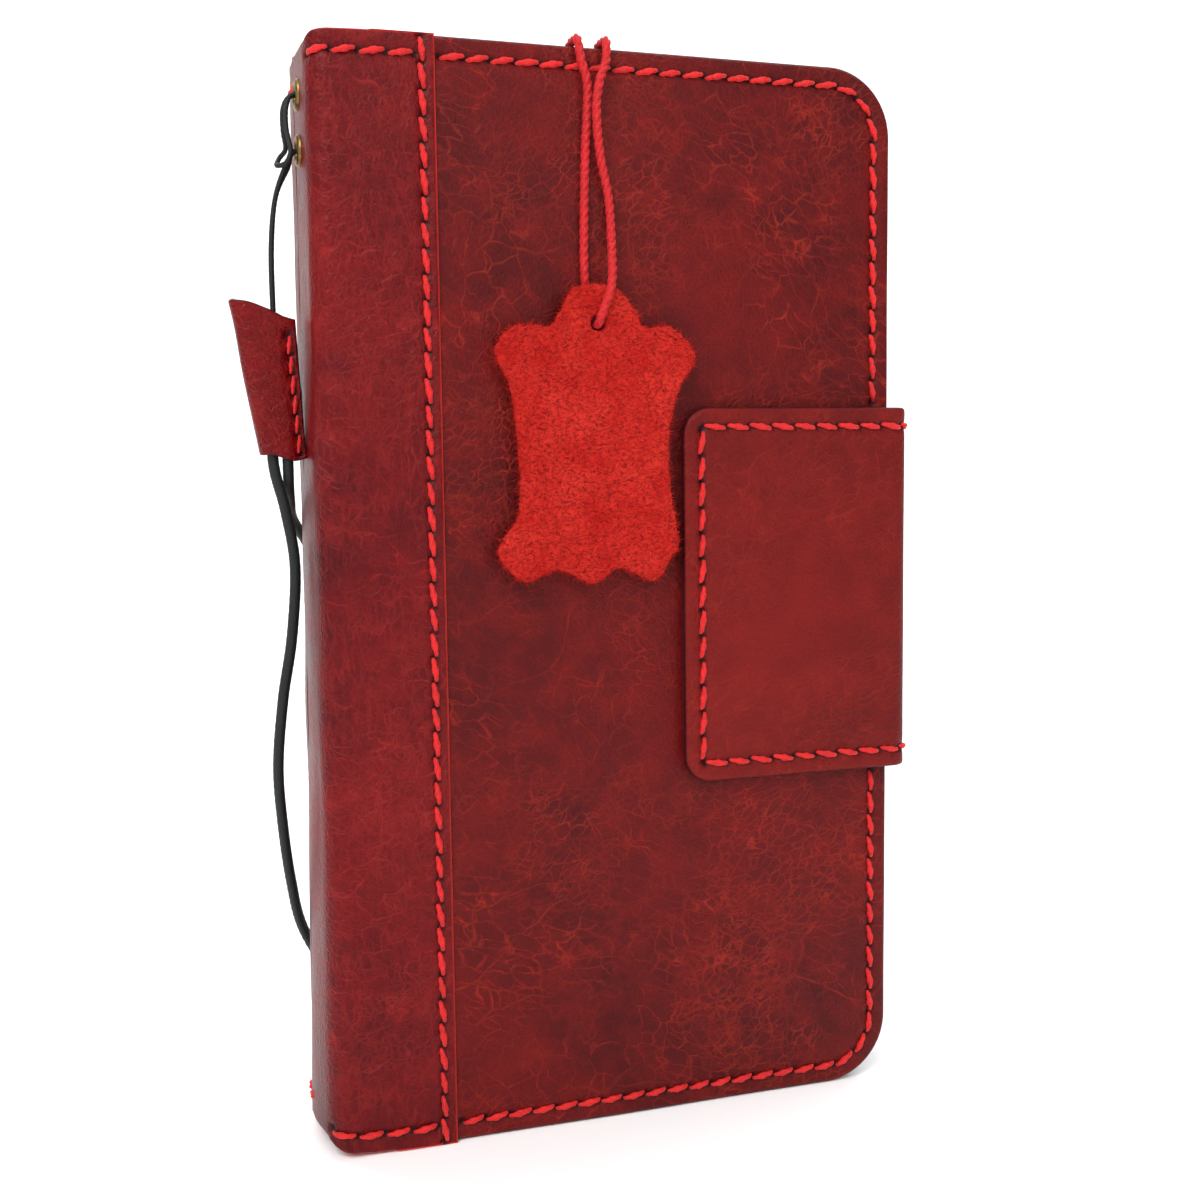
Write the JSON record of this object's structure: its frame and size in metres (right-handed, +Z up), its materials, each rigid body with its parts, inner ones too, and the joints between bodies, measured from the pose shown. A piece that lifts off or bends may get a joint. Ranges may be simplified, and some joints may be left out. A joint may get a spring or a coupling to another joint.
{
  "type": "phone wallet case",
  "caption": "Upright folio phone wallet case in red leather with a magnetic strap, moulded phone shell, card pockets, hang tag and wrist lanyard.",
  "frame": {"origin": "centre of the footprint, on the surface that the closed case stands on", "axes": "+X from the spine to the strap, +Y from the front cover to the back cover, +Z up along the height"},
  "size_m": [0.0978, 0.0283, 0.1566],
  "materials": {
    "cover_leather": "deep red pull-up leather, semi-gloss, fine creases",
    "strip_leather": "the same leather, a little brighter, creased along the spine",
    "strap_leather": "the same leather, a little lighter",
    "sleeve_leather": "folded red leather with raw edges",
    "lining_suede": "thin burgundy suede",
    "pocket_leather": "thin smooth red leather",
    "board": "bonded leather board",
    "shell_plastic": "moulded matte shell",
    "red_thread": "waxed two-ply thread",
    "antique_brass": "darkened antique brass",
    "steel": "plated steel",
    "tag_suede": "bright red suede",
    "red_cord": "twisted red cord",
    "black_cord": "braided black cord"
  },
  "bodies": {
    "back": {"back_cover_leather": "cover_leather", "back_stiffener": "board", "back_lining": "lining_suede", "phone_shell": "shell_plastic", "back_edge_stitching": "red_thread", "back_spine_strip": "strip_leather", "back_seam_stitching": "red_thread", "strap_tail_leather": "strap_leather", "strap_tail_lining": "lining_suede", "strap_tail_stitching": "red_thread"},
    "spine": {"spine_leather": "strip_leather", "spine_lining": "lining_suede", "upper_eyelet": "antique_brass", "lower_eyelet": "antique_brass", "eyelet_washers": "antique_brass", "spine_edge_stitching": "red_thread"},
    "front": {"front_cover_leather": "cover_leather", "front_stiffener": "board", "front_lining": "lining_suede", "cash_pocket": "pocket_leather", "card_pocket_back": "pocket_leather", "card_pocket_middle": "pocket_leather", "card_pocket_front": "pocket_leather", "pocket_stitching": "red_thread", "front_edge_stitching": "red_thread", "front_spine_strip": "strip_leather", "front_seam_stitching": "red_thread", "keeper_plate": "steel", "tag_cord": "red_cord", "tag_cord_knot": "red_cord"},
    "strap_side": {"strap_side_leather": "strap_leather", "strap_side_lining": "lining_suede", "strap_side_stitching": "red_thread"},
    "strap_flap": {"strap_flap_leather": "strap_leather", "strap_flap_lining": "lining_suede", "strap_flap_stitching": "red_thread", "strap_magnet": "steel"},
    "tag": {"hang_tag": "tag_suede"},
    "lanyard_loop": {"loop_cord": "black_cord"},
    "lanyard": {"lanyard_sleeve": "sleeve_leather", "sleeve_stitching": "red_thread", "wrist_cord": "black_cord"}
  },
  "joints": [
    {"name": "cover_fold", "type": "hinge", "parent": "spine", "child": "front", "pos_m": [-0.04362, -0.00922, 0.0775], "axis": [0, 0, -1], "range_deg": [0, 90]},
    {"name": "spine_fold", "type": "hinge", "parent": "back", "child": "spine", "pos_m": [-0.04362, 0.00922, 0.0775], "axis": [0, 0, -1], "range_deg": [0, 90]},
    {"name": "strap_swing", "type": "hinge", "parent": "back", "child": "strap_side", "pos_m": [0.0438, 0.0108, 0.0775], "axis": [0, 0, 1], "range_deg": [0, 120]},
    {"name": "flap_lift", "type": "hinge", "parent": "strap_side", "child": "strap_flap", "pos_m": [0.0438, -0.0111, 0.0775], "axis": [0, 0, 1], "range_deg": [0, 90], "deforming": ["strap_flap_leather", "strap_flap_lining", "strap_flap_stitching", "strap_magnet"]},
    {"name": "tag_lift", "type": "hinge", "parent": "front", "child": "tag", "pos_m": [-0.0055, -0.0103, 0.155], "axis": [-1, 0, 0], "range_deg": [0, 90], "deforming": ["tag_cord"]},
    {"name": "loop_turn", "type": "hinge", "parent": "spine", "child": "lanyard_loop", "pos_m": [-0.047, -0.0015, 0.144], "axis": [0, 0, 1], "range_deg": [0, 90], "deforming": ["loop_cord"]},
    {"name": "lanyard_swing", "type": "hinge", "parent": "lanyard_loop", "child": "lanyard", "pos_m": [-0.0491, 0, 0.118], "axis": [0, 1, 0], "range_deg": [0, 60], "deforming": ["wrist_cord"]}
  ],
  "couplings": [
    {"joint": "spine_fold", "follows": "cover_fold", "ratio": 1},
    {"joint": "strap_swing", "follows": "cover_fold", "ratio": 1.3333},
    {"joint": "loop_turn", "follows": "cover_fold", "ratio": 1}
  ]
}
